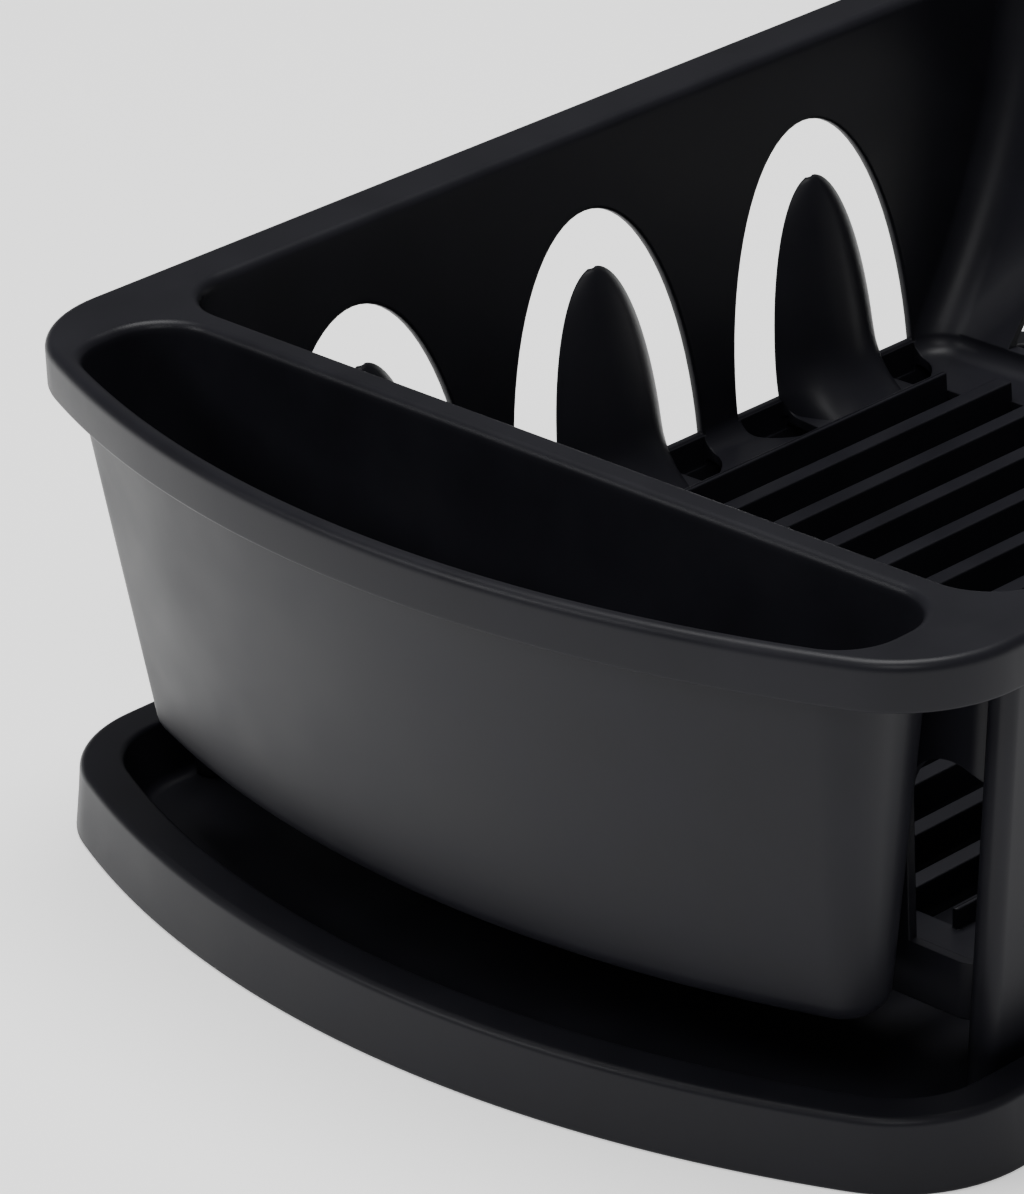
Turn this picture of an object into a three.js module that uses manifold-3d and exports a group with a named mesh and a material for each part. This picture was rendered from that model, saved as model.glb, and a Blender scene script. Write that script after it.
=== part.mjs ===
// Two-piece dish drying rack in black polypropylene: a moulded rack that lifts out of a drip tray.
// Frame: +X along the length with the cutlery caddy at the -X end, +Y towards the back wall, +Z up.
// The origin is the bottom centre of the whole object. Millimetres.
import * as THREE from 'three';
import { mergeVertices } from 'three/addons/utils/BufferGeometryUtils.js';
import Module from 'manifold-3d';

const wasm = await Module();
wasm.setup();

// Driving dimensions
const WALL = 2.4;                 // moulding thickness
const GAP = 0.3;                  // clearance between neighbouring sections
const TRAY = { length: 372, width: 281, bowR: 295, cornerR: 34, height: 17, draft: 1.84, floor: 3 };
const TRAY_RIM = { width: 8.4, slope: 4.2 };
const RIM = { length: 365, width: 281, bowR: 309, cornerR: 31, top: 122, skirt: 11.4, lipBow: 5 };
const DIVIDER = { near: 57, far: 65.2 };          // both edges of the divider's flange, from the bow
const CADDY = {
  halfTop: 120,
  halfBase: 107.5,
  bowBase: 19,
  backBase: 51,
  base: 28,
  cornerR: 14,
  cornerBase: 7,
  wall: 2,
};
const BASKET = {
  floorTop: 35,
  plateTop: 30,
  skirtFoot: 22,
  footY: 118.7,
  topY: 126,
  footX: 314,
  topX: 357,
  cornerR: 17,
};
const END_CURVE = 27;                             // how far the far end wall bows away from a straight lean
const BAR = { pitch: 16.44, width: 4.8, depth: 9, start: 82, end: 299, count: 11 };
const FLOOR_OPEN_Y = 96.3;
const LIP = { width: 1.8, end: 294 };             // upstanding edge along both sides of the bars
const SLOT = { half: 31.9, height: 67, pitch: 76.9, middle: 196.3 };
const TOE_HOLE = { depth: 18, margin: 0.6, wallMargin: 1.5 };
const TONGUE = {
  half: 18.2,
  offset: 0.8,                                    // from the middle of its slot towards +X
  toe: 15,
  height: 52,
  bulge: 9,
  tipBulge: 0.6,
  tipShare: 0.97,
  back: 0.4,
};
const END_SLOT = { half: 27, pitch: 67 };
const END_TONGUE = { half: 13.6, toe: 12, sink: 0.4 };
const END_WALL = 2.76;                            // thickness along X of the far end wall
const ARCH = { y: 114, half: 13, foot: 36, top: 82.5 };
const LEG = { outerTop: 134.3, foot: TRAY.floor + GAP };
const NEAR_LEG = { start: 60, end: 84 };          // from the bow
const FAR_LEG = { start: 317, end: 336 };

const flangeUnder = RIM.top - WALL;
const sectionTop = flangeUnder - GAP;
const fromBow = (distance) => distance - RIM.length / 2;
const wallLean = (BASKET.topY - BASKET.footY) / (RIM.top - BASKET.floorTop);
const wallY = (z) => BASKET.footY + wallLean * (z - BASKET.floorTop);

// Material of both mouldings
function plastic(colour) {
  return new THREE.MeshStandardMaterial({ color: colour, roughness: 0.55, metalness: 0 });
}

// Solids and meshes
function toSolid(geometry) {
  const bare = geometry.clone();
  bare.deleteAttribute('normal');
  bare.deleteAttribute('uv');
  const merged = mergeVertices(bare, 1e-4);
  const vertProperties = new Float32Array(merged.attributes.position.array);
  const triVerts = new Uint32Array(merged.index.array);
  return new wasm.Manifold(new wasm.Mesh({ numProp: 3, vertProperties, triVerts }));
}

function toGeometry(solid) {
  const mesh = solid.getMesh();
  const geometry = new THREE.BufferGeometry();
  geometry.setAttribute('position', new THREE.BufferAttribute(new Float32Array(mesh.vertProperties), 3));
  geometry.setIndex(new THREE.BufferAttribute(new Uint32Array(mesh.triVerts), 1));
  geometry.computeVertexNormals();
  return geometry;
}

const rack = new THREE.Group();

function addPart(name, solid, colour) {
  const mesh = new THREE.Mesh(toGeometry(solid), plastic(colour));
  mesh.name = name;
  rack.add(mesh);
}

// An outline bowed at its -X end and straight at its +X end, with four rounded corners, anticlockwise.
function bowOutline({ x0, x1, half, bowR, cornerR }) {
  const points = [];
  const arc = (cx, cy, r, from, to, steps) => {
    for (let i = 0; i <= steps; i += 1) {
      const a = from + ((to - from) * i) / steps;
      points.push(new THREE.Vector2(cx + r * Math.cos(a), cy + r * Math.sin(a)));
    }
  };
  const bowX = x0 + bowR;
  const cornerY = half - cornerR;
  const cornerX = bowX - Math.sqrt((bowR - cornerR) ** 2 - cornerY ** 2);
  const meet = Math.atan2(cornerY, bowX - cornerX);
  arc(bowX, 0, bowR, Math.PI - meet, Math.PI + meet, 20);
  arc(cornerX, -cornerY, cornerR, Math.PI + meet, 1.5 * Math.PI, 6);
  arc(x1 - cornerR, -cornerY, cornerR, 1.5 * Math.PI, 2 * Math.PI, 6);
  arc(x1 - cornerR, cornerY, cornerR, 0, Math.PI / 2, 6);
  arc(cornerX, cornerY, cornerR, Math.PI / 2, Math.PI - meet, 6);
  return points.filter((p, i) => p.distanceTo(points[(i + 1) % points.length]) > 1e-6);
}

function inset(outline, d) {
  return {
    x0: outline.x0 + d,
    x1: outline.x1 - d,
    half: outline.half - d,
    bowR: outline.bowR - d,
    cornerR: Math.max(outline.cornerR - d, 2),
  };
}

// A closed solid through outlines at rising or falling heights, capped flat at both ends.
function loft(rings) {
  const loops = rings.map(({ shape, z }) => bowOutline(shape).map((p) => new THREE.Vector3(p.x, p.y, z)));
  const size = loops[0].length;
  const triangles = [];
  for (let r = 0; r + 1 < loops.length; r += 1) {
    for (let i = 0; i < size; i += 1) {
      const j = (i + 1) % size;
      triangles.push(loops[r][i], loops[r][j], loops[r + 1][j]);
      triangles.push(loops[r][i], loops[r + 1][j], loops[r + 1][i]);
    }
  }
  const cap = (loop, flip) => {
    const middle = loop.reduce((sum, p) => sum.add(p), new THREE.Vector3()).divideScalar(size);
    for (let i = 0; i < size; i += 1) {
      const a = loop[i];
      const b = loop[(i + 1) % size];
      triangles.push(middle, flip ? b : a, flip ? a : b);
    }
  };
  cap(loops[0], true);
  cap(loops[loops.length - 1], false);
  return toSolid(new THREE.BufferGeometry().setFromPoints(triangles));
}

function box(x0, x1, y0, y1, z0, z1) {
  const geometry = new THREE.BoxGeometry(x1 - x0, y1 - y0, z1 - z0);
  geometry.translate((x0 + x1) / 2, (y0 + y1) / 2, (z0 + z1) / 2);
  return toSolid(geometry);
}

// A plate cut from a shape drawn in the XZ plane, reaching from y0 to y1.
function plateXZ(shape, y0, y1) {
  const depth = y1 - y0;
  const geometry = new THREE.ExtrudeGeometry(shape, { depth, bevelEnabled: false, curveSegments: 24 });
  geometry.rotateX(Math.PI / 2);
  geometry.translate(0, y1, 0);
  return toSolid(geometry);
}

// A prism whose shape is drawn in the YZ plane, reaching from x0 to x1.
function prismYZ(shape, x0, x1) {
  const depth = x1 - x0;
  const geometry = new THREE.ExtrudeGeometry(shape, { depth, bevelEnabled: false, curveSegments: 24 });
  geometry.rotateX(Math.PI / 2);
  geometry.rotateZ(Math.PI / 2);
  geometry.translate(x0, 0, 0);
  return toSolid(geometry);
}

function polygon(...corners) {
  return new THREE.Shape(corners.map(([a, b]) => new THREE.Vector2(a, b)));
}

// The upright half-ellipse of a plate slot, standing on the floor line.
function slotShape(middle, half) {
  const shape = new THREE.Shape();
  shape.moveTo(middle - half, BASKET.floorTop);
  shape.lineTo(middle + half, BASKET.floorTop);
  shape.absellipse(middle, BASKET.floorTop, half, SLOT.height, 0, Math.PI, false, 0);
  shape.closePath();
  return shape;
}

// Drip tray: flat floor, inner wall, broad rim and outer skirt, hollow under the rim.
function dripTray() {
  const outline = {
    x0: -TRAY.length / 2,
    x1: TRAY.length / 2,
    half: TRAY.width / 2,
    bowR: TRAY.bowR,
    cornerR: TRAY.cornerR,
  };
  const ring = (d, z) => ({ shape: inset(outline, d), z });
  const rimOuter = TRAY.draft + 1;
  const rimInner = rimOuter + TRAY_RIM.width;
  const floorEdge = rimInner + TRAY_RIM.slope;
  return loft([
    ring(floorEdge - 2, 0),
    ring(rimInner - WALL, TRAY.height - WALL),
    ring(rimOuter + WALL, TRAY.height - WALL),
    ring(WALL, 0),
    ring(0, 0),
    ring(TRAY.draft, TRAY.height - 1),
    ring(rimOuter, TRAY.height),
    ring(rimInner, TRAY.height),
    ring(rimInner + 1, TRAY.height - 1),
    ring(floorEdge, TRAY.floor),
  ]);
}

const rimOutline = {
  x0: fromBow(0),
  x1: fromBow(RIM.length),
  half: RIM.width / 2,
  bowR: RIM.bowR,
  cornerR: RIM.cornerR,
};

const caddyMouth = {
  x0: fromBow(RIM.lipBow),
  x1: fromBow(DIVIDER.near),
  half: CADDY.halfTop,
  bowR: RIM.bowR - RIM.lipBow,
  cornerR: CADDY.cornerR,
};

const caddyFoot = {
  x0: fromBow(CADDY.bowBase),
  x1: fromBow(CADDY.backBase),
  half: CADDY.halfBase,
  bowR: RIM.bowR,
  cornerR: CADDY.cornerBase,
};

// Rim: flat flange with a down-turned skirt, open over the caddy and over the basket.
function rackRim() {
  const body = loft([
    { shape: rimOutline, z: RIM.top - RIM.skirt },
    { shape: inset(rimOutline, 0.3), z: RIM.top - 1.2 },
    { shape: inset(rimOutline, 1.4), z: RIM.top },
  ]);
  const hollow = loft([
    { shape: inset(rimOutline, WALL), z: RIM.top - RIM.skirt - 1 },
    { shape: inset(rimOutline, WALL + 0.3), z: flangeUnder },
  ]);
  const mouth = loft([
    { shape: caddyMouth, z: flangeUnder - 5 },
    { shape: caddyMouth, z: RIM.top + 5 },
  ]);
  const basketMouth = {
    x0: fromBow(DIVIDER.far),
    x1: fromBow(BASKET.topX),
    half: BASKET.topY,
    bowR: 1e5,
    cornerR: BASKET.cornerR,
  };
  const basket = loft([
    { shape: basketMouth, z: flangeUnder - 5 },
    { shape: basketMouth, z: RIM.top + 5 },
  ]);
  return body.subtract(hollow).subtract(mouth).subtract(basket);
}

// The space inside the skirt, which the walls keep to at the rounded corners.
function insideSkirt() {
  const shape = inset(rimOutline, WALL + 2 * GAP);
  return loft([{ shape, z: 0 }, { shape, z: RIM.top }]);
}

// Cutlery caddy: a tapering bow-fronted bin, open at the top, with a rounded foot.
// share is 0 at the foot and 1 at the mouth; grow makes the outer face larger all round.
function caddySlice(share, grow) {
  const shape = {};
  for (const key of Object.keys(caddyMouth)) {
    shape[key] = caddyFoot[key] + (caddyMouth[key] - caddyFoot[key]) * share;
  }
  return inset(shape, -grow);
}

function caddySolid(grow, top) {
  const rise = (z) => (z - CADDY.base) / (flangeUnder - CADDY.base);
  return loft([
    { shape: inset(caddySlice(0, grow), 4), z: CADDY.base },
    { shape: inset(caddySlice(0, grow), 1.2), z: CADDY.base + 1.2 },
    { shape: caddySlice(rise(CADDY.base + 4), grow), z: CADDY.base + 4 },
    { shape: caddySlice(rise(top), grow), z: top },
  ]);
}

function cutleryCaddy() {
  const inner = caddySolid(0, RIM.top + CADDY.cornerBase);
  return caddySolid(CADDY.wall, sectionTop).subtract(inner.translate([0, 0, WALL]));
}

// Divider: a cross wall between caddy and basket, with an open arch beside each end of the caddy.
function dividerWall() {
  const outer = (z) => wallY(z) + WALL;
  const foot = BASKET.skirtFoot;
  const panel = polygon(
    [-outer(foot), foot],
    [outer(foot), foot],
    [outer(sectionTop), sectionTop],
    [-outer(sectionTop), sectionTop],
  );
  let wall = prismYZ(panel, fromBow(DIVIDER.far) - WALL, fromBow(DIVIDER.far));
  for (const side of [-1, 1]) {
    const arch = new THREE.Shape();
    arch.moveTo(side * ARCH.y - ARCH.half, ARCH.foot);
    arch.lineTo(side * ARCH.y + ARCH.half, ARCH.foot);
    arch.lineTo(side * ARCH.y + ARCH.half, ARCH.top - ARCH.half);
    arch.absarc(side * ARCH.y, ARCH.top - ARCH.half, ARCH.half, 0, Math.PI, false);
    arch.closePath();
    wall = wall.subtract(prismYZ(arch, fromBow(DIVIDER.far) - 10, fromBow(DIVIDER.far) + 10));
  }
  return wall;
}

// Inner face of the far end wall: up and outwards on a curve, and straight down below the floor.
function endX(z) {
  const u = Math.max(z - BASKET.floorTop, 0) / (RIM.top - BASKET.floorTop);
  return BASKET.footX + (BASKET.topX - BASKET.footX + END_CURVE) * u - END_CURVE * u * u;
}

// Equally spaced heights from a foot up to the top of the sections.
function heights(foot, steps) {
  const levels = [];
  for (let i = 0; i <= steps; i += 1) levels.push(foot + ((sectionTop - foot) * i) / steps);
  return levels;
}

// Long side wall, leaning outwards, with three slots and a skirt below the floor.
// side is +1 at the back and -1 at the front.
function longWall(side) {
  const foot = BASKET.skirtFoot;
  const start = fromBow(DIVIDER.far) + GAP;
  const outline = new THREE.Shape();
  outline.moveTo(start, foot);
  outline.lineTo(fromBow(BASKET.footX) + WALL, foot);
  for (const z of heights(BASKET.floorTop, 8)) outline.lineTo(fromBow(endX(z)) + WALL, z);
  outline.lineTo(start, sectionTop);
  outline.closePath();
  for (const i of [-1, 0, 1]) {
    outline.holes.push(slotShape(fromBow(SLOT.middle + i * SLOT.pitch), SLOT.half));
  }
  const lean = new THREE.Matrix4().makeShear(0, 0, 0, 0, 0, wallLean);
  const settings = { depth: WALL, bevelEnabled: false, curveSegments: 20 };
  const geometry = new THREE.ExtrudeGeometry(outline, settings);
  geometry.rotateX(Math.PI / 2);
  geometry.translate(0, WALL, 0);
  geometry.applyMatrix4(lean);
  geometry.translate(0, BASKET.footY - wallLean * BASKET.floorTop, 0);
  const wall = toSolid(geometry).intersect(insideSkirt());
  return side > 0 ? wall : wall.mirror([0, 1, 0]);
}

// Far end wall between the long walls, with three slots and the same skirt.
function endWall() {
  const foot = BASKET.skirtFoot;
  const levels = [foot, ...heights(BASKET.floorTop, 10)];
  const inner = levels.map((z) => [fromBow(endX(z)), z]);
  const outer = levels.map((z) => [fromBow(endX(z)) + END_WALL, z]);
  let wall = plateXZ(polygon(...outer, ...inner.reverse()), -BASKET.topY, BASKET.topY);
  const trim = polygon(
    [-wallY(foot) + GAP, foot],
    [wallY(foot) - GAP, foot],
    [wallY(sectionTop) - GAP, sectionTop],
    [-wallY(sectionTop) + GAP, sectionTop],
  );
  wall = wall.intersect(prismYZ(trim, 0, RIM.length)).intersect(insideSkirt());
  for (const i of [-1, 0, 1]) {
    const slot = slotShape(i * END_SLOT.pitch, END_SLOT.half);
    wall = wall.subtract(prismYZ(slot, 0, RIM.length));
  }
  return wall;
}

// A toe hole beside a plate rest: an elliptical corner of the slot, carried on into the floor plate.
// middle is the slot's, along says which end of it, and side which wall.
function toeHole(middle, along, side, wallEdge) {
  const shape = new THREE.Shape();
  const inner = TONGUE.half + along * TONGUE.offset + TOE_HOLE.margin;
  const steps = 8;
  shape.moveTo(middle + along * inner, side * wallEdge);
  for (let i = 0; i <= steps; i += 1) {
    const x = inner + ((SLOT.half - TOE_HOLE.margin - inner) * i) / steps;
    const depth = TOE_HOLE.depth * Math.sqrt(1 - (x / SLOT.half) ** 2);
    shape.lineTo(middle + along * x, side * (BASKET.footY - depth));
  }
  shape.lineTo(middle + along * (SLOT.half - TOE_HOLE.margin), side * wallEdge);
  shape.closePath();
  const geometry = new THREE.ExtrudeGeometry(shape, { depth: BASKET.floorTop, bevelEnabled: false });
  return toSolid(geometry);
}

// Basket floor: a plate round the drain bars, with a lip along each side of them and the toe holes.
function basketFloor() {
  const top = BASKET.plateTop;
  const edge = wallY(top - WALL) - GAP;
  const start = fromBow(DIVIDER.far) + GAP;
  let floor = box(start, fromBow(BASKET.footX) - GAP, -edge, edge, top - WALL, top);
  for (const side of [-1, 1]) {
    const ys = [side * FLOOR_OPEN_Y, side * (FLOOR_OPEN_Y + LIP.width)].sort((a, b) => a - b);
    floor = floor.add(box(fromBow(BAR.start), fromBow(LIP.end), ...ys, top - WALL, BASKET.floorTop));
  }
  const open = [fromBow(BAR.start), fromBow(BAR.end), -FLOOR_OPEN_Y, FLOOR_OPEN_Y];
  floor = floor.subtract(box(...open, 0, RIM.top));
  for (const i of [-1, 0, 1]) {
    for (const along of [-1, 1]) {
      for (const side of [-1, 1]) {
        const middle = fromBow(SLOT.middle + i * SLOT.pitch);
        floor = floor.subtract(toeHole(middle, along, side, edge - TOE_HOLE.wallMargin));
      }
    }
  }
  return floor;
}

// Heights, half widths, bulges and back faces of a plate rest, from its toe on the plate to its tip.
function tongueSections({ half, toe }) {
  const foot = { width: half, back: TONGUE.back };
  const sections = [
    { ...foot, z: BASKET.plateTop + GAP, bulge: toe },
    { ...foot, z: BASKET.floorTop, bulge: TONGUE.bulge + TONGUE.tipBulge },
  ];
  const steps = 8;
  for (let r = 0; r <= steps; r += 1) {
    const t = (r / steps) * TONGUE.tipShare;
    sections.push({
      z: BASKET.floorTop + GAP + TONGUE.height * t,
      width: half * Math.sqrt(1 - t * t),
      bulge: TONGUE.bulge * Math.sqrt(1 - t) + TONGUE.tipBulge,
      back: -WALL,
    });
  }
  return sections;
}

// Plate rest: a tongue that stands up inside a slot, flat outside and bulging into the basket.
// place turns a distance along the wall, a distance out of its inner face and a height into a point.
function tongue(size, place) {
  const across = 12;
  const loops = tongueSections(size).map(({ z, width, bulge, back }) => {
    const loop = [];
    for (let i = 0; i <= across; i += 1) {
      const a = Math.PI / 2 - (Math.PI * i) / across;
      loop.push(place(width * Math.sin(a), TONGUE.back + bulge * Math.cos(a), z));
    }
    loop.push(place(-width, back, z));
    loop.push(place(width, back, z));
    return loop;
  });
  const count = loops[0].length;
  const last = loops.length - 1;
  const triangles = [];
  for (let r = 0; r < last; r += 1) {
    for (let i = 0; i < count; i += 1) {
      const j = (i + 1) % count;
      triangles.push(loops[r][i], loops[r][j], loops[r + 1][j]);
      triangles.push(loops[r][i], loops[r + 1][j], loops[r + 1][i]);
    }
  }
  for (let i = 1; i + 1 < count; i += 1) {
    triangles.push(loops[0][0], loops[0][i + 1], loops[0][i]);
    triangles.push(loops[last][0], loops[last][i], loops[last][i + 1]);
  }
  return toSolid(new THREE.BufferGeometry().setFromPoints(triangles));
}

function sideTongue(middle, side) {
  const place = (s, n, z) => new THREE.Vector3(middle - side * s, side * (wallY(z) - n), z);
  return tongue(TONGUE, place);
}

function endTongue(middle) {
  const place = (s, n, z) => new THREE.Vector3(fromBow(endX(z)) - n - END_TONGUE.sink, middle + s, z);
  return tongue(END_TONGUE, place);
}

// Corner leg: a channel outside the long wall, from the rim down to the tray floor.
function leg({ start, end }, side) {
  const inner = (z) => wallY(z) + WALL + GAP;
  const outer = (z) => LEG.outerTop + wallLean * (z - sectionTop);
  const section = (y0, y1) => polygon(
    [y0(LEG.foot), LEG.foot],
    [y1(LEG.foot), LEG.foot],
    [y1(sectionTop), sectionTop],
    [y0(sectionTop), sectionTop],
  );
  const post = prismYZ(section(inner, outer), fromBow(start), fromBow(end));
  const hollow = section((z) => inner(z) - 1, (z) => outer(z) - WALL);
  const solid = post.subtract(prismYZ(hollow, fromBow(start) + WALL, fromBow(end) - WALL));
  return side > 0 ? solid : solid.mirror([0, 1, 0]);
}

addPart('drip_tray', dripTray(), 0x1d1d21);
addPart('rack_rim', rackRim(), 0x232328);
addPart('cutlery_caddy', cutleryCaddy(), 0x26262b);
addPart('divider_wall', dividerWall(), 0x202024);
addPart('back_wall', longWall(1), 0x222226);
addPart('front_wall', longWall(-1), 0x222226);
addPart('end_wall', endWall(), 0x222226);
addPart('basket_floor', basketFloor(), 0x1f1f23);

for (let i = 0; i < BAR.count; i += 1) {
  const y = (i - (BAR.count - 1) / 2) * BAR.pitch;
  const top = BASKET.floorTop;
  const x0 = fromBow(BAR.start) + GAP;
  const x1 = fromBow(BAR.end) - GAP;
  const bar = box(x0, x1, y - BAR.width / 2, y + BAR.width / 2, top - BAR.depth, top);
  addPart(`drain_bar_${i + 1}`, bar, 0x212125);
}

for (const i of [-1, 0, 1]) {
  const x = fromBow(SLOT.middle + i * SLOT.pitch) + TONGUE.offset;
  addPart(`back_plate_rest_${i + 2}`, sideTongue(x, 1), 0x242428);
  addPart(`front_plate_rest_${i + 2}`, sideTongue(x, -1), 0x242428);
  addPart(`end_plate_rest_${i + 2}`, endTongue(i * END_SLOT.pitch), 0x242428);
}

for (const [name, side] of [['back', 1], ['front', -1]]) {
  addPart(`${name}_leg_near`, leg(NEAR_LEG, side), 0x202024);
  addPart(`${name}_leg_far`, leg(FAR_LEG, side), 0x202024);
}

export default rack;
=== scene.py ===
"""Looks of a two-piece dish drying rack in black polypropylene: the moulded rack and its drip tray.

Metres, in the frame of the CAD model: +X away from the cutlery caddy, +Y to the back wall, +Z up.
Places come from the boxes of the CAD nodes and from the sizes named below. Cross-sections are drawn as
closed outlines and lofted, so that each moulding has real fillets, and the openings are cut out of it.
"""
from math import atan2, cos, pi, radians, sin, sqrt

import bmesh
import bpy
from mathutils import Matrix, Vector


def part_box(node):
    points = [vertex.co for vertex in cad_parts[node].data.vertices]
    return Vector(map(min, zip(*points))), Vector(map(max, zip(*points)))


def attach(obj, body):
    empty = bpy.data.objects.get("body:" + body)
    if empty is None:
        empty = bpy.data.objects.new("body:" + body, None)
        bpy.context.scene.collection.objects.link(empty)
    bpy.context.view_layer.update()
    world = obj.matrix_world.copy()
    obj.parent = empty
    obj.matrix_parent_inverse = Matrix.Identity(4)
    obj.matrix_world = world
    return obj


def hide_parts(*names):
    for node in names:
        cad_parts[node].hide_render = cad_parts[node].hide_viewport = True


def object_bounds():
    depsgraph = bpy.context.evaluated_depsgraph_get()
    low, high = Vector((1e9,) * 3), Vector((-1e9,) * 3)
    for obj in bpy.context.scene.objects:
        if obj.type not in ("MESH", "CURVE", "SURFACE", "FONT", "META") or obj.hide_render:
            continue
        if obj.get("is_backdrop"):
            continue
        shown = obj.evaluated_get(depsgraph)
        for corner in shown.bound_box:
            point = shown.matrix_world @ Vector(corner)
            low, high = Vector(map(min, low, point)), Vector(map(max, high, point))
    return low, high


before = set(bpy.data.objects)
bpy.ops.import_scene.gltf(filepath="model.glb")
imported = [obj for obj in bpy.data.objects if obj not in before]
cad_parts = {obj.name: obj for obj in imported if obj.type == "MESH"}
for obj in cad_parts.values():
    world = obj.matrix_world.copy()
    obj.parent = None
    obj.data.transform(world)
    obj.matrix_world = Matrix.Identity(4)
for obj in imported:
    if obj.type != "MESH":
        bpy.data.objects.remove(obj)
CAD_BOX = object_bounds()

MM = 0.001
WALL = 2.4 * MM
OVERLAP = 1 * MM  # how far a cutter passes the face it cuts, or a joined solid runs into the other

# Boxes of the CAD nodes
RIM_LO, RIM_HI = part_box("rack_rim")
TRAY_LO, TRAY_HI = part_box("drip_tray")
CADDY_LO, CADDY_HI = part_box("cutlery_caddy")
DIVIDER_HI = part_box("divider_wall")[1]
FLOOR_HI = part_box("basket_floor")[1]
END_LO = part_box("end_wall")[0]
FIRST_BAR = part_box("drain_bar_1")
SECOND_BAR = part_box("drain_bar_2")
LAST_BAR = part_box("drain_bar_11")
SLOT_BOXES = [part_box(f"back_plate_rest_{i}") for i in (1, 2, 3)]
END_SLOT_BOXES = [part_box(f"end_plate_rest_{i}") for i in (1, 2, 3)]
LEG_BOXES = [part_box("back_leg_near"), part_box("back_leg_far")]

# Heights and planes of the basket
RIM_TOP = RIM_HI.z
FLOOR_TOP = FLOOR_HI.z
BAR_RISE = 5 * MM
PLATE_TOP = FLOOR_TOP - BAR_RISE
SKIRT_FOOT = END_LO.z
DIVIDER_X = DIVIDER_HI.x
FOOT_Y = 118.7 * MM
MOUTH_Y = 126 * MM
FOOT_X = END_LO.x
FAR_FLANGE = 8 * MM
MOUTH_X = RIM_HI.x - FAR_FLANGE
END_CURVE = 27 * MM
FLOOR_FILLET = 5 * MM
BASKET_FLARE = 2.6 * MM

# Corners seen from above
FAR_CORNER_R = 10 * MM
NEAR_CORNER_R = (4 * MM, 16 * MM)  # at the floor and at the rim
NEAR_CORNER_START = 100 * MM       # height at which the near corners begin to widen
NEAR_CORNER_RISE = 22 * MM
SMALLEST_R = 0.5 * MM
RIM_BOW_R = 309 * MM
RIM_CORNER_R = 31 * MM

# Drip tray
TRAY_FLOOR = 3 * MM
TRAY_RIM_WIDTH = 8.4 * MM
TRAY_DRAFT = 1.84 * MM
TRAY_SLOPE = 4.2 * MM
TRAY_BOW_R = 295 * MM
TRAY_CORNER_R = 34 * MM

# Cutlery caddy
CADDY_WALL = 2 * MM
CADDY_FOOT_ROUND = 5 * MM
CADDY_FLOOR_ROUND = 3.5 * MM
CADDY_FLARE = 2.2 * MM
CADDY_MOUTH = {
    "x0": CADDY_LO.x + CADDY_WALL,
    "x1": CADDY_HI.x - CADDY_WALL,
    "half": CADDY_HI.y - CADDY_WALL,
    "bow_r": 304 * MM,
    "corner_r": 14 * MM,
}
CADDY_FOOT = {
    "x0": CADDY_LO.x + 16 * MM,
    "x1": CADDY_HI.x - 8 * MM,
    "half": CADDY_HI.y - 14.5 * MM,
    "bow_r": 309 * MM,
    "corner_r": 7 * MM,
}

# Legs
LEG_CORNER_R = 3 * MM
CHANNEL_CORNER_R = 1.6 * MM
CHANNEL_REACH = 8 * MM

# Slots, their plate rests and the toe holes beside them
SLOT_HEIGHT = 67 * MM
SLOT_HALF = 31.9 * MM
END_SLOT_HALF = 27 * MM
SLOT_SINK = 0.9 * MM
SLOT_EDGE = 0.7 * MM
REST_HALF = 18.2 * MM
REST_OFFSET = 0.8 * MM             # from the middle of its slot towards +X
END_REST_HALF = 13.6 * MM
REST_TOP = 52.4 * MM
REST_BULGE = 9 * MM
REST_SINK = 0.6 * MM               # of its foot in the plate and of its back in the wall
REST_SHELL = 1.6 * MM
TOE_HEIGHT = 15 * MM
SIDE_TOE = 9 * MM
END_TOE = 5 * MM
TOE_HOLE_DEPTH = 18.5 * MM
TOE_HOLE_UNDERCUT = 1.5 * MM
TOE_HOLE_WALL = 0.4 * MM

# Drain bars and the lip along each side of them
BAR_COUNT = 11
BAR_EASE = 0.6 * MM
BAR_DRAFT = 0.3 * MM
LIP = 1.8 * MM
LIP_END = 5 * MM
LIP_Y = LAST_BAR[1].y + SECOND_BAR[0].y - FIRST_BAR[1].y

# Arches in the divider
ARCH_Y = 114 * MM
ARCH_HALF = 13 * MM
ARCH_FOOT = 36 * MM
ARCH_TOP = 82.5 * MM


def mix(a, b, share):
    return a + (b - a) * share


def wall_y(z):
    """Inner face of the long walls: a straight lean outwards."""
    return mix(FOOT_Y, MOUTH_Y, (z - FLOOR_TOP) / (RIM_TOP - FLOOR_TOP))


def end_x(z):
    """Inner face of the far end wall: it leans outwards and gets steeper towards the top."""
    u = max(z - FLOOR_TOP, 0.0) / (RIM_TOP - FLOOR_TOP)
    return FOOT_X + (MOUTH_X - FOOT_X + END_CURVE) * u - END_CURVE * u * u


# ---------------------------------------------------------------- outlines


def arc(cx, cy, r, start, end, steps):
    angles = [start + (end - start) * i / steps for i in range(steps + 1)]
    return [(cx + r * cos(a), cy + r * sin(a)) for a in angles]


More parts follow.
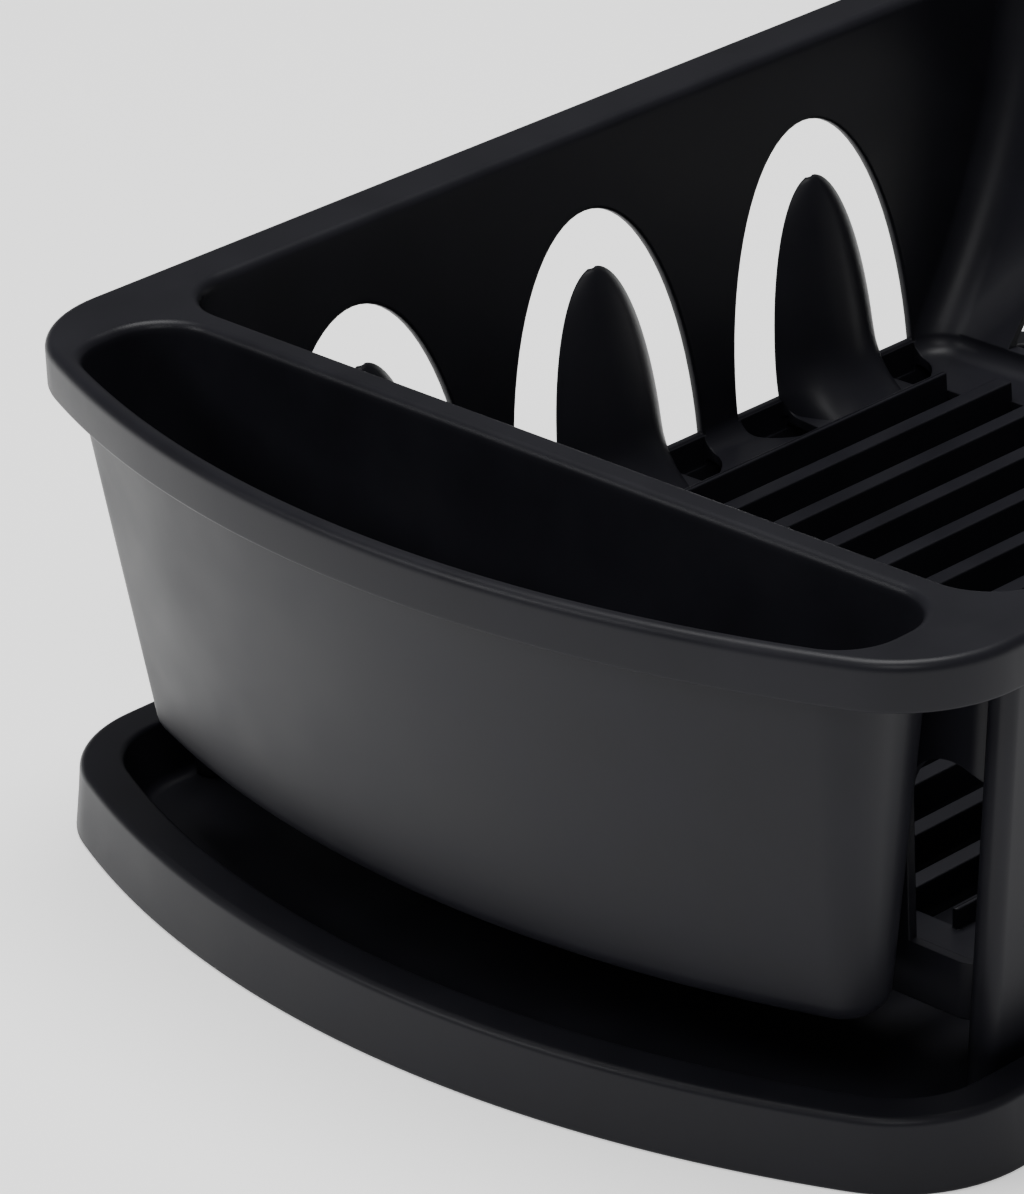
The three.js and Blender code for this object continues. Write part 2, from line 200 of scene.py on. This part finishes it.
def bow_outline(x0, x1, half, bow_r, corner_r, bow_steps=64, corner_steps=14):
    """Anticlockwise outline, bowed at -X and straight at +X, with four rounded corners."""
    bow_x = x0 + bow_r
    corner_y = half - corner_r
    corner_x = bow_x - sqrt((bow_r - corner_r) ** 2 - corner_y**2)
    meet = atan2(corner_y, bow_x - corner_x)
    points = arc(bow_x, 0, bow_r, pi - meet, pi + meet, bow_steps)
    points += arc(corner_x, -corner_y, corner_r, pi + meet, 1.5 * pi, corner_steps)[1:]
    points += arc(x1 - corner_r, -corner_y, corner_r, 1.5 * pi, 2 * pi, corner_steps)
    points += arc(x1 - corner_r, corner_y, corner_r, 0, pi / 2, corner_steps)
    points += arc(corner_x, corner_y, corner_r, pi / 2, pi - meet, corner_steps)[:-1]
    return points


def round_box_outline(x0, x1, y0, y1, r, steps=10):
    points = arc(x1 - r, y1 - r, r, 0, pi / 2, steps)
    points += arc(x0 + r, y1 - r, r, pi / 2, pi, steps)
    points += arc(x0 + r, y0 + r, r, pi, 1.5 * pi, steps)
    points += arc(x1 - r, y0 + r, r, 1.5 * pi, 2 * pi, steps)
    return points


def slot_outline(half, height, grow=0.0, steps=40):
    """An upright half-ellipse on a flat foot, anticlockwise, in its own plane."""
    a = half + grow
    b = height + grow
    return [(-a, -grow), (a, -grow)] + [
        (a * cos(pi * i / steps), b * sin(pi * i / steps)) for i in range(1, steps)
    ]


# ---------------------------------------------------------------- meshes


def mesh_object(name, verts, faces):
    mesh = bpy.data.meshes.new(name)
    mesh.from_pydata([tuple(v) for v in verts], [], faces)
    mesh.validate()
    obj = bpy.data.objects.new(name, mesh)
    bpy.context.scene.collection.objects.link(obj)
    return obj


def loft(name, rings):
    """Closed solid through rings of equally many 3-D points, with a flat cap at each end."""
    size = len(rings[0])
    verts = [p for ring in rings for p in ring]
    faces = []
    for r in range(len(rings) - 1):
        for i in range(size):
            j = (i + 1) % size
            a = r * size
            faces.append((a + i, a + j, a + size + j, a + size + i))
    last = (len(rings) - 1) * size
    faces.append(tuple(range(size - 1, -1, -1)))
    faces.append(tuple(last + i for i in range(size)))
    return mesh_object(name, verts, faces)


def flat_ring(outline, z):
    return [(x, y, z) for x, y in outline]


def prism(name, outline, z0, z1):
    return loft(name, [flat_ring(outline, z0), flat_ring(outline, z1)])


def combine(target, tool, operation):
    """Joins tool to target, or cuts it out, and removes tool."""
    modifier = target.modifiers.new("combine", "BOOLEAN")
    modifier.operation = operation
    modifier.solver = "MANIFOLD"
    modifier.object = tool
    bpy.context.view_layer.update()
    depsgraph = bpy.context.evaluated_depsgraph_get()
    result = bpy.data.meshes.new_from_object(target.evaluated_get(depsgraph))
    target.modifiers.clear()
    old = target.data
    target.data = result
    bpy.data.meshes.remove(old)
    bpy.data.objects.remove(tool)


def join(target, tool):
    combine(target, tool, "UNION")


def cut(target, tool):
    combine(target, tool, "DIFFERENCE")


def finish_surface(obj, sharp_degrees=32):
    """Smooth shading with crisp edges kept, and flat faces kept flat."""
    bm = bmesh.new()
    bm.from_mesh(obj.data)
    bmesh.ops.remove_doubles(bm, verts=bm.verts, dist=1e-6)
    bmesh.ops.dissolve_degenerate(bm, edges=bm.edges, dist=1e-6)
    bmesh.ops.recalc_face_normals(bm, faces=bm.faces)
    for face in bm.faces:
        face.smooth = True
    for edge in bm.edges:
        edge.smooth = len(edge.link_faces) == 2 and edge.calc_face_angle(pi) < radians(sharp_degrees)
    bm.to_mesh(obj.data)
    bm.free()
    weighted = obj.modifiers.new("weighted_normals", "WEIGHTED_NORMAL")
    weighted.keep_sharp = True
    weighted.weight = 100


# ---------------------------------------------------------------- drip tray

def tray_ring(inset, z):
    x0 = TRAY_LO.x + inset
    x1 = TRAY_HI.x - inset
    outline = bow_outline(x0, x1, TRAY_HI.y - inset, TRAY_BOW_R - inset, TRAY_CORNER_R - inset)
    return flat_ring(outline, z)


def rounded(inset, z, r, start, end, steps):
    """An arc about a centre, from one angle to another in degrees, as (inset, z) pairs."""
    return arc(inset, z, r, radians(start), radians(end), steps)


def build_tray():
    """One profile swept all round: underside, skirt, rim, inner wall and floor."""
    top = TRAY_HI.z
    rim_out = TRAY_DRAFT + 1.6 * MM
    rim_in = rim_out + TRAY_RIM_WIDTH - 0.8 * MM
    floor_edge = rim_in + TRAY_SLOPE
    profile = [(floor_edge - 1.2 * MM, 0.0)]
    profile += [(floor_edge - 2.4 * MM, 0.4 * MM), (rim_in - WALL, top - WALL - 1 * MM)]
    profile += [(rim_in - WALL - 0.8 * MM, top - WALL), (rim_out + WALL, top - WALL)]
    profile += [(WALL + 1 * MM, top - WALL - 1.4 * MM), (WALL, 0.3 * MM), (WALL - 0.3 * MM, 0.0)]
    profile += [(0.35 * MM, 0.0), (0.0, 0.4 * MM)]
    profile += [(TRAY_DRAFT * share, 0.4 * MM + (top - 2.6 * MM) * share) for share in (0.33, 0.66)]
    profile += rounded(rim_out + 0.3 * MM, top - 2.0 * MM, 2.0 * MM, 172, 90, 7)
    profile += rounded(rim_in - 0.4 * MM, top - 1.6 * MM, 1.6 * MM, 90, 18, 6)
    profile += rounded(floor_edge + 3 * MM, TRAY_FLOOR + 3 * MM, 3 * MM, 196, 270, 6)
    return loft("drip_tray_moulding", [tray_ring(inset, z) for inset, z in profile])


# ---------------------------------------------------------------- rack moulding


def rim_ring(inset, z):
    x0 = RIM_LO.x + inset
    x1 = RIM_HI.x - inset
    outline = bow_outline(x0, x1, RIM_HI.y - inset, RIM_BOW_R - inset, RIM_CORNER_R - inset)
    return flat_ring(outline, z)


def rim_solid():
    """Flange and skirt in one, not yet open over the caddy and the basket."""
    low = RIM_LO.z
    profile = [(0.7 * MM, low), (0.25 * MM, low + 0.2 * MM), (0.0, low + 0.8 * MM)]
    profile += [(0.0, RIM_TOP - 2.6 * MM)]
    profile += rounded(WALL, RIM_TOP - WALL, WALL, 175, 90, 8)
    solid = loft("rack_moulding", [rim_ring(inset, z) for inset, z in profile])
    under = RIM_TOP - WALL
    hollow = [(WALL, low - OVERLAP), (WALL, under - 1.2 * MM)]
    hollow += [(WALL + 0.4 * MM, under - 0.3 * MM), (WALL + 1.2 * MM, under)]
    cut(solid, loft("hollow", [rim_ring(inset, z) for inset, z in hollow]))
    return solid


def basket_ring(z, grow):
    """Outline of the basket's inside at height z, made larger all round by grow."""
    x0 = DIVIDER_X - grow
    x1 = end_x(z) + grow
    half = wall_y(z) + grow
    steps = 14
    far_r = max(FAR_CORNER_R + grow, SMALLEST_R)
    widening = min(max((z - NEAR_CORNER_START) / NEAR_CORNER_RISE, 0.0), 1.0)
    near_r = max(mix(*NEAR_CORNER_R, widening) + grow, SMALLEST_R)
    points = arc(x1 - far_r, half - far_r, far_r, 0, pi / 2, steps)
    points += arc(x0 + near_r, half - near_r, near_r, pi / 2, pi, steps)
    points += arc(x0 + near_r, -(half - near_r), near_r, pi, 1.5 * pi, steps)
    points += arc(x1 - far_r, -(half - far_r), far_r, 1.5 * pi, 2 * pi, steps)
    return flat_ring(points, z)


def level_steps(z0, z1, count):
    return [mix(z0, z1, i / count) for i in range(count + 1)]


def fillet_rings(ring, foot, fillet, grow, steps=7):
    """Rings from a flat foot round a fillet out to the full outline."""
    angles = [radians(90 * i / steps) for i in range(steps + 1)]
    return [ring(foot + fillet * (1 - cos(a)), grow - fillet * (1 - sin(a))) for a in angles]


def flare_rings(ring, flare, overshoot, steps=7):
    """Rings that round a mouth's upper edge and pass the rim's top by overshoot times the flare."""
    angles = [radians(90 * i / steps) for i in range(1, steps + 1)]
    rings = [ring(RIM_TOP - flare * (1 - sin(a)), flare * (1 - cos(a))) for a in angles]
    return rings + [ring(RIM_TOP + 2 * OVERLAP, flare * overshoot)]


def basket_outside():
    """Outer face of the walls, from the foot of their skirt up into the rim."""
    rings = [basket_ring(SKIRT_FOOT, WALL - 0.6 * MM), basket_ring(SKIRT_FOOT + 0.5 * MM, WALL)]
    rings += [basket_ring(z, WALL) for z in level_steps(SKIRT_FOOT + 2 * MM, RIM_TOP - OVERLAP, 22)]
    return loft("basket_outside", rings)


def basket_underside():
    """The hollow below the floor plate, inside the skirt."""
    under = PLATE_TOP - WALL
    ease = 1 * MM
    rings = [basket_ring(z, 0.0) for z in (SKIRT_FOOT - 2 * OVERLAP, under - ease)]
    rings.append(basket_ring(under, -ease))
    return loft("basket_underside", rings)


def basket_inside():
    """The cutter for the basket: filleted along the floor, flared round the rim's inner edge."""
    rings = fillet_rings(basket_ring, PLATE_TOP, FLOOR_FILLET, 0.0, steps=8)
    rings += [basket_ring(z, 0.0) for z in level_steps(PLATE_TOP + 8 * MM, RIM_TOP - 3.2 * MM, 20)]
    rings += flare_rings(basket_ring, BASKET_FLARE, 1.6)
    return loft("basket_inside", rings)


def caddy_ring(z, grow):
    """Outline of the caddy's inside at height z, made larger all round by grow."""
    share = (z - CADDY_LO.z) / (RIM_TOP - WALL - CADDY_LO.z)
    shape = {key: mix(CADDY_FOOT[key], CADDY_MOUTH[key], share) for key in CADDY_MOUTH}
    outline = bow_outline(
        shape["x0"] - grow,
        shape["x1"] + grow,
        shape["half"] + grow,
        shape["bow_r"] + grow,
        max(shape["corner_r"] + grow, 1 * MM),
    )
    return flat_ring(outline, z)


def caddy_rings(grow, foot, fillet, top):
    rings = fillet_rings(caddy_ring, foot, fillet, grow)
    return rings + [caddy_ring(z, grow) for z in level_steps(foot + fillet + 3 * MM, top, 12)]


def caddy_outside():
    rings = caddy_rings(CADDY_WALL, CADDY_LO.z, CADDY_FOOT_ROUND, RIM_TOP - OVERLAP)
    return loft("caddy_outside", rings)


def caddy_inside():
    """The cutter for the caddy: filleted along its floor, flared round its mouth."""
    rings = caddy_rings(0.0, CADDY_LO.z + WALL, CADDY_FLOOR_ROUND, RIM_TOP - 3 * MM)
    rings += flare_rings(caddy_ring, CADDY_FLARE, 1.5)
    return loft("caddy_inside", rings)


def leg_solid(lo, hi, side):
    """Channel-shaped leg outside a long wall, from the rim's underside to the tray floor."""
    lean = (MOUTH_Y - FOOT_Y) / (RIM_TOP - FLOOR_TOP)
    top = RIM_TOP - OVERLAP

    def rings(levels, y0, y1, x0, x1, r):
        loops = []
        for z in levels:
            ys = sorted((side * (y0 + lean * (z - top)), side * (y1 + lean * (z - top))))
            loops.append(flat_ring(round_box_outline(x0, x1, *ys, r, steps=6), z))
        return loops

    outer = hi.y + lean * WALL
    inner = wall_y(top) + OVERLAP
    foot = lo.z
    solid = loft("leg", rings((foot, top), inner, outer, lo.x, hi.x, LEG_CORNER_R))
    levels = (foot - OVERLAP, RIM_TOP - WALL)
    sides = (lo.x + WALL, hi.x - WALL)
    channel = rings(levels, inner - CHANNEL_REACH, outer - WALL, *sides, CHANNEL_CORNER_R)
    cut(solid, loft("channel", channel))
    return solid


def middle_of(corners):
    return (corners[0] + corners[1]) / 2


def side_slot_cutter(x, side, half):
    """Half-ellipse through a long wall, square to the wall, with eased edges on both faces."""
    lean = atan2(MOUTH_Y - FOOT_Y, RIM_TOP - FLOOR_TOP)
    along = Vector((1, 0, 0))
    up = Vector((0, side * sin(lean), cos(lean)))
    out = Vector((0, side * cos(lean), -sin(lean)))
    origin = Vector((x, side * FOOT_Y, FLOOR_TOP - SLOT_SINK))
    edge = SLOT_EDGE
    eased = 0.3 * SLOT_EDGE
    depths = [(-14 * MM, edge), (0, edge), (eased, eased), (edge, 0)]
    depths += [(WALL - edge, 0), (WALL - eased, eased), (WALL, edge), (9 * MM, edge)]
    rings = []
    for depth, grow in depths:
        outline = slot_outline(half, SLOT_HEIGHT + SLOT_SINK, grow)
        ring = [origin + along * s + up * t + out * depth for s, t in outline]
        rings.append(ring if side < 0 else ring[::-1])
    return loft("slot", rings)


def end_slot_cutter(y, half):
    """Half-ellipse along +X through the far end wall."""
    rings = []
    for x in (FOOT_X - 12 * MM, RIM_HI.x + 10 * MM):
        rings.append([(x, y + s, FLOOR_TOP + t) for s, t in slot_outline(half, SLOT_HEIGHT)])
    return loft("slot", rings)


def toe_hole(middle, along, side):
    """The slot's elliptical corner beside a plate rest, carried on into the floor plate."""
    inner = REST_HALF + along * REST_OFFSET - TOE_HOLE_UNDERCUT
    wall_edge = FOOT_Y - TOE_HOLE_WALL
    outline = [(inner, wall_edge)]
    steps = 16
    for i in range(steps):
        a = pi / 2 * i / steps
        x = SLOT_HALF * sin(a)
        if x > inner:
            outline.append((x, FOOT_Y - TOE_HOLE_DEPTH * cos(a) ** 0.8))
    outline.append((SLOT_HALF, wall_edge))
    points = [(middle + along * x, side * y) for x, y in outline]
    if along * side < 0:
        points.reverse()
    return prism("hole", points, PLATE_TOP - WALL - 2 * OVERLAP, FLOOR_TOP + OVERLAP / 2)


def floor_bar(x0, x1, y0, y1):
    """A drain bar or lip with eased top edges, a little thicker downwards."""
    ease = BAR_EASE
    levels = [(FIRST_BAR[0].z, -BAR_DRAFT), (FLOOR_TOP - ease, 0.0)]
    levels.append((FLOOR_TOP - 0.25 * ease, 0.3 * ease))
    rings = []
    for z, inset in levels:
        rings.append(flat_ring(round_box_outline(x0, x1, y0 + inset, y1 - inset, 0.7 * MM), z))
    top = round_box_outline(x0 + ease, x1 - ease, y0 + ease, y1 - ease, 0.4 * MM)
    rings.append(flat_ring(top, FLOOR_TOP))
    return loft("floor_bar", rings)


def floor_opening():
    """The opening in the floor plate under the bars, a little shorter at its two sides."""
    x0 = FIRST_BAR[0].x
    x1 = FIRST_BAR[1].x
    side_x1 = x1 - LIP_END
    notch = LAST_BAR[1].y
    outline = [(x0, -LIP_Y), (side_x1, -LIP_Y), (side_x1, -notch), (x1, -notch)]
    outline += [(x1, notch), (side_x1, notch), (side_x1, LIP_Y), (x0, LIP_Y)]
    return prism("floor_opening", outline, 0.0, FLOOR_TOP + 2 * OVERLAP)


def floor_bars():
    """The eleven drain bars and the lip along each side of them."""
    x0 = FIRST_BAR[0].x - OVERLAP
    x1 = FIRST_BAR[1].x
    width = FIRST_BAR[1].y - FIRST_BAR[0].y
    bars = []
    for i in range(BAR_COUNT):
        y = mix(FIRST_BAR[0].y, LAST_BAR[0].y, i / (BAR_COUNT - 1))
        bars.append(floor_bar(x0, x1 + OVERLAP, y, y + width))
    for side in (-1, 1):
        ys = sorted((side * LIP_Y, side * (LIP_Y + LIP)))
        bars.append(floor_bar(x0, x1 - LIP_END, *ys))
    return bars


def arch_cutter(side):
    """An arch through the divider alone, clear of the legs."""
    outline = [(ARCH_Y - ARCH_HALF, ARCH_FOOT), (ARCH_Y + ARCH_HALF, ARCH_FOOT)]
    outline += arc(ARCH_Y, ARCH_TOP - ARCH_HALF, ARCH_HALF, 0, pi, 24)
    points = [(side * y, z) for y, z in outline]
    reach = (DIVIDER_X - 4 * MM, DIVIDER_X + 0.8 * MM)
    rings = [[(x, y, z) for y, z in points] for x in reach]
    obj = loft("arch", rings)
    bm = bmesh.new()
    bm.from_mesh(obj.data)
    bmesh.ops.recalc_face_normals(bm, faces=bm.faces)
    bm.to_mesh(obj.data)
    bm.free()
    return obj


def build_rack():
    rack = rim_solid()
    join(rack, basket_outside())
    join(rack, caddy_outside())
    cut(rack, basket_inside())
    cut(rack, basket_underside())
    for side in (-1, 1):
        cut(rack, arch_cutter(side))
    for lo, hi in LEG_BOXES:
        for side in (-1, 1):
            join(rack, leg_solid(lo, hi, side))
    cut(rack, caddy_inside())
    for side in (-1, 1):
        for corners in SLOT_BOXES:
            x = middle_of(corners).x - REST_OFFSET
            cut(rack, side_slot_cutter(x, side, SLOT_HALF))
            for along in (-1, 1):
                cut(rack, toe_hole(x, along, side))
    for corners in END_SLOT_BOXES:
        y = middle_of(corners).y
        cut(rack, end_slot_cutter(y, END_SLOT_HALF))
    cut(rack, floor_opening())
    for bar in floor_bars():
        join(rack, bar)
    return rack


# ---------------------------------------------------------------- plate rests

def tongue_solid(name, half, reach, place):
    """A tongue like the bow of a boat, hollow behind, with a toe that flares out on the floor plate."""
    rings = []
    steps = 26
    foot = PLATE_TOP - REST_SINK
    tip_share = 0.995
    extra = 0.8 * MM
    for r in range(steps + 1):
        z = foot + (FLOOR_TOP + REST_TOP - foot) * sin(pi / 2 * r / steps) * tip_share
        t = max(0.0, (z - FLOOR_TOP) / REST_TOP)
        toe = max(0.0, 1 - (z - foot) / TOE_HEIGHT) ** 2.2
        width = half * sqrt(1 - t * t) - extra * toe
        bulge = REST_BULGE * (1 - t) ** 0.55 + extra + reach * toe
        rings.append(tongue_ring(width, bulge, 2.2 + 2.0 * toe, z, place))
    return loft(name, rings)


def tongue_ring(width, bulge, fullness, z, place):
    """One closed cross-section: the front face one way, the back of the shell the other way."""
    across = 28
    shell = min(REST_SHELL, width * 0.45)
    inner = max(bulge - shell, 0.1 * MM)
    front = []
    back = []
    for i in range(across + 1):
        a = pi / 2 - pi * i / across
        level = 1 - abs(sin(a)) ** fullness
        front.append(place(width * sin(a), bulge * level, z))
        back.append(place(-(width - shell * 0.8) * sin(a), inner * level - 0.3 * MM, z))
    return front + back


def build_rests():
    """Pairs of a skin and the name of the CAD node that it stands for."""
    rests = []
    for i, corners in enumerate(SLOT_BOXES):
        x = middle_of(corners).x
        for word, side in (("back", 1), ("front", -1)):
            def place(s, n, z, side=side, x=x):
                return (x - side * s, side * (wall_y(z) + REST_SINK - n), z)

            node = f"{word}_plate_rest_{i + 1}"
            rests.append((tongue_solid(f"{node}_skin", REST_HALF, SIDE_TOE, place), node))
    for i, corners in enumerate(END_SLOT_BOXES):
        y = middle_of(corners).y

        def place(s, n, z, y=y):
            return (end_x(z) + REST_SINK - n, y + s, z)

        node = f"end_plate_rest_{i + 1}"
        rests.append((tongue_solid(f"{node}_skin", END_REST_HALF, END_TOE, place), node))
    return rests


# ---------------------------------------------------------------- materials


def black_plastic(name, base, roughness):
    """Satin moulded plastic: cloudy tone, shallow waves, fine grain and softened edges."""
    material = bpy.data.materials.new(name)
    material.use_nodes = True
    nodes = material.node_tree.nodes
    links = material.node_tree.links
    shader = nodes["Principled BSDF"]
    shader.inputs["Specular IOR Level"].default_value = 0.15
    shader.inputs["IOR"].default_value = 1.49
    where = nodes.new("ShaderNodeTexCoord")

    def noise(scale, detail):
        node = nodes.new("ShaderNodeTexNoise")
        node.inputs["Scale"].default_value = scale
        node.inputs["Detail"].default_value = detail
        links.new(where.outputs["Object"], node.inputs["Vector"])
        return node

    def bump(height, normal, strength, distance):
        node = nodes.new("ShaderNodeBump")
        node.inputs["Strength"].default_value = strength
        node.inputs["Distance"].default_value = distance
        links.new(height.outputs["Fac"], node.inputs["Height"])
        links.new(normal.outputs["Normal"], node.inputs["Normal"])
        return node

    cloud = noise(38, 5)
    tone = nodes.new("ShaderNodeMapRange")
    tone.inputs["From Min"].default_value = 0.3
    tone.inputs["From Max"].default_value = 0.7
    spread = 0.045
    tone.inputs["To Min"].default_value = roughness - spread
    tone.inputs["To Max"].default_value = roughness + spread
    links.new(cloud.outputs["Fac"], tone.inputs["Value"])
    links.new(tone.outputs["Result"], shader.inputs["Roughness"])
    colour = nodes.new("ShaderNodeValToRGB")
    for element, position, share in zip(colour.color_ramp.elements, (0.32, 0.72), (0.86, 1.16)):
        element.position = position
        element.color = tuple(c * share for c in base) + (1,)
    links.new(cloud.outputs["Fac"], colour.inputs["Fac"])
    links.new(colour.outputs["Color"], shader.inputs["Base Color"])
    edge = nodes.new("ShaderNodeBevel")
    edge.samples = 4
    edge.inputs["Radius"].default_value = 0.6 * MM
    waves = bump(noise(22, 1), edge, 0.12, 0.4 * MM)
    grain = bump(noise(2600, 2), waves, 0.22, 0.06 * MM)
    links.new(grain.outputs["Normal"], shader.inputs["Normal"])
    return material


def dress(obj, material, body, slot, *nodes):
    finish_surface(obj)
    obj.data.materials.clear()
    obj.data.materials.append(material)
    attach(obj, body)
    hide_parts(*nodes)


# ---------------------------------------------------------------- stage, lights and camera


def build_stage():
    size = 6.0
    below = -0.2 * MM
    corners = [(-size, -size, below), (size, -size, below), (size, size, below), (-size, size, below)]
    floor = mesh_object("studio_floor", corners, [(0, 1, 2, 3)])
    material = bpy.data.materials.new("studio_floor")
    material.use_nodes = True
    shader = material.node_tree.nodes["Principled BSDF"]
    shader.inputs["Base Color"].default_value = (0.93, 0.93, 0.925, 1)
    shader.inputs["Roughness"].default_value = 0.9
    shader.inputs["Emission Color"].default_value = (1, 1, 1, 1)
    shader.inputs["Emission Strength"].default_value = 0.6
    floor.data.materials.append(material)
    floor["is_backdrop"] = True


def area_light(name, location, size, power):
    """A rectangular light that points at the middle of the rack."""
    data = bpy.data.lights.new(name, "AREA")
    data.shape = "RECTANGLE"
    data.size, data.size_y = size
    data.energy = power
    light = bpy.data.objects.new(name, data)
    light.location = location
    direction = Vector((0, 0, 60 * MM)) - Vector(location)
    light.rotation_euler = direction.to_track_quat("-Z", "Y").to_euler()
    bpy.context.scene.collection.objects.link(light)


def build_lights():
    world = bpy.data.worlds.new("studio")
    bpy.context.scene.world = world
    world.use_nodes = True
    background = world.node_tree.nodes["Background"]
    background.inputs["Color"].default_value = (1, 1, 1, 1)
    background.inputs["Strength"].default_value = 0.16
    area_light("key", (-1.3, -1.0, 1.8), (0.9, 0.7), 14)
    area_light("top", (0.1, 0.3, 2.1), (1.4, 1.0), 52)
    area_light("left", (-1.6, 1.0, 1.3), (0.8, 0.6), 14)


def build_camera():
    """Seen from the caddy end and the front, above the rim."""
    azimuth = radians(-43.473)
    elevation = radians(25.185)
    roll = radians(-2.703)
    distance = 1.53206
    target = Vector((-0.08681, 0.05024, 0.05808))
    level = cos(elevation)
    back = Vector((sin(azimuth) * level, -cos(azimuth) * level, sin(elevation)))
    right = Vector((0, 0, 1)).cross(back).normalized()
    up = back.cross(right)
    rolled_right = right * cos(roll) + up * sin(roll)
    rolled_up = up * cos(roll) - right * sin(roll)
    data = bpy.data.cameras.new("camera")
    data.sensor_fit = "AUTO"
    data.sensor_width = 36
    data.lens = 203.36
    data.clip_end = 50
    camera = bpy.data.objects.new("camera", data)
    bpy.context.scene.collection.objects.link(camera)
    turn = Matrix((rolled_right, rolled_up, back)).transposed().to_4x4()
    camera.matrix_world = Matrix.Translation(target + back * distance) @ turn
    bpy.context.scene.camera = camera


rack_plastic = black_plastic("rack_plastic", (0.0092, 0.0092, 0.0122), 0.38)
tray_plastic = black_plastic("tray_plastic", (0.0085, 0.0085, 0.0112), 0.40)

apart = ["drip_tray"] + [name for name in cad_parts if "plate_rest" in name]
shown_by_rack = [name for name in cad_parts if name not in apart]
dress(build_tray(), tray_plastic, "tray", "tray_plastic", "drip_tray")
dress(build_rack(), rack_plastic, "rack", "rack_plastic", *shown_by_rack)
for skin, node in build_rests():
    dress(skin, rack_plastic, "rack", "rack_plastic", node)

build_stage()
build_lights()
build_camera()

both = {"cad": CAD_BOX, "visual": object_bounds()}
{name: [list(corner) for corner in box] for name, box in both.items()}
